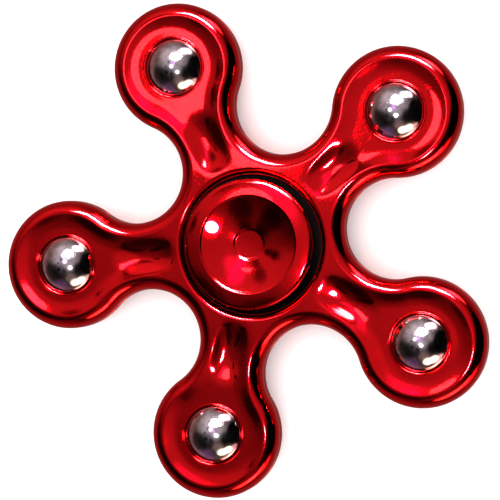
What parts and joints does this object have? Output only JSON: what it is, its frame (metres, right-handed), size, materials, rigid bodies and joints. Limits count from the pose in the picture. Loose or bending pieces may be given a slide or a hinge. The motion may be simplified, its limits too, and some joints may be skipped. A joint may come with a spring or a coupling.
{
  "type": "fidget spinner",
  "caption": "Flat fidget spinner with rounded arms, a steel ball set in each round lobe, and dished finger caps on a central ball bearing.",
  "frame": {"origin": "centre of the bearing, on the spin axis, halfway through the thickness", "axes": "+Z along the spin axis towards the top cap; +X along one arm"},
  "size_m": [0.0893, 0.0926, 0.014],
  "materials": {
    "plated_shell": "vacuum-metallised ABS under clear red lacquer, mirror gloss",
    "plated_cap": "vacuum-metallised ABS under clear red lacquer, mirror gloss",
    "polished_steel_ball": "polished hardened steel",
    "ground_steel": "ground bearing steel",
    "pressed_steel": "bright pressed sheet steel"
  },
  "bodies": {
    "hub": {"top_cap": "plated_cap", "bottom_cap": "plated_cap", "bearing_inner_race": "ground_steel"},
    "frame": {"upper_shell": "plated_shell", "lower_shell": "plated_shell", "weight_ball_1": "polished_steel_ball", "weight_ball_2": "polished_steel_ball", "weight_ball_3": "polished_steel_ball", "weight_ball_4": "polished_steel_ball", "weight_ball_5": "polished_steel_ball", "bearing_outer_race": "ground_steel", "bearing_shield_top": "pressed_steel", "bearing_shield_bottom": "pressed_steel"},
    "cage": {"cage_upper_half": "pressed_steel", "cage_lower_half": "pressed_steel", "cage_rivet_1": "pressed_steel", "cage_rivet_2": "pressed_steel", "cage_rivet_3": "pressed_steel", "cage_rivet_4": "pressed_steel", "cage_rivet_5": "pressed_steel", "cage_rivet_6": "pressed_steel", "cage_rivet_7": "pressed_steel"},
    "bearing_ball_1": {"bearing_ball_1": "polished_steel_ball"},
    "bearing_ball_2": {"bearing_ball_2": "polished_steel_ball"},
    "bearing_ball_3": {"bearing_ball_3": "polished_steel_ball"},
    "bearing_ball_4": {"bearing_ball_4": "polished_steel_ball"},
    "bearing_ball_5": {"bearing_ball_5": "polished_steel_ball"},
    "bearing_ball_6": {"bearing_ball_6": "polished_steel_ball"},
    "bearing_ball_7": {"bearing_ball_7": "polished_steel_ball"}
  },
  "joints": [
    {"name": "frame_spin", "type": "hinge", "parent": "hub", "child": "frame", "pos_m": [0, 0, 0], "axis": [0, 0, 1], "continuous": true},
    {"name": "cage_spin", "type": "hinge", "parent": "hub", "child": "cage", "pos_m": [0, 0, 0], "axis": [0, 0, 1], "continuous": true},
    {"name": "bearing_ball_1_spin", "type": "hinge", "parent": "cage", "child": "bearing_ball_1", "pos_m": [0.0075, 0, 0], "axis": [0, 0, 1], "continuous": true},
    {"name": "bearing_ball_2_spin", "type": "hinge", "parent": "cage", "child": "bearing_ball_2", "pos_m": [0.00468, 0.00586, 0], "axis": [0, 0, 1], "continuous": true},
    {"name": "bearing_ball_3_spin", "type": "hinge", "parent": "cage", "child": "bearing_ball_3", "pos_m": [-0.00167, 0.00731, 0], "axis": [0, 0, 1], "continuous": true},
    {"name": "bearing_ball_4_spin", "type": "hinge", "parent": "cage", "child": "bearing_ball_4", "pos_m": [-0.00676, 0.00325, 0], "axis": [0, 0, 1], "continuous": true},
    {"name": "bearing_ball_5_spin", "type": "hinge", "parent": "cage", "child": "bearing_ball_5", "pos_m": [-0.00676, -0.00325, 0], "axis": [0, 0, 1], "continuous": true},
    {"name": "bearing_ball_6_spin", "type": "hinge", "parent": "cage", "child": "bearing_ball_6", "pos_m": [-0.00167, -0.00731, 0], "axis": [0, 0, 1], "continuous": true},
    {"name": "bearing_ball_7_spin", "type": "hinge", "parent": "cage", "child": "bearing_ball_7", "pos_m": [0.00468, -0.00586, 0], "axis": [0, 0, 1], "continuous": true}
  ],
  "couplings": [
    {"joint": "cage_spin", "follows": "frame_spin", "ratio": 0.6323},
    {"joint": "bearing_ball_1_spin", "follows": "frame_spin", "ratio": 1.7573},
    {"joint": "bearing_ball_2_spin", "follows": "frame_spin", "ratio": 1.7573},
    {"joint": "bearing_ball_3_spin", "follows": "frame_spin", "ratio": 1.7573},
    {"joint": "bearing_ball_4_spin", "follows": "frame_spin", "ratio": 1.7573},
    {"joint": "bearing_ball_5_spin", "follows": "frame_spin", "ratio": 1.7573},
    {"joint": "bearing_ball_6_spin", "follows": "frame_spin", "ratio": 1.7573},
    {"joint": "bearing_ball_7_spin", "follows": "frame_spin", "ratio": 1.7573}
  ]
}
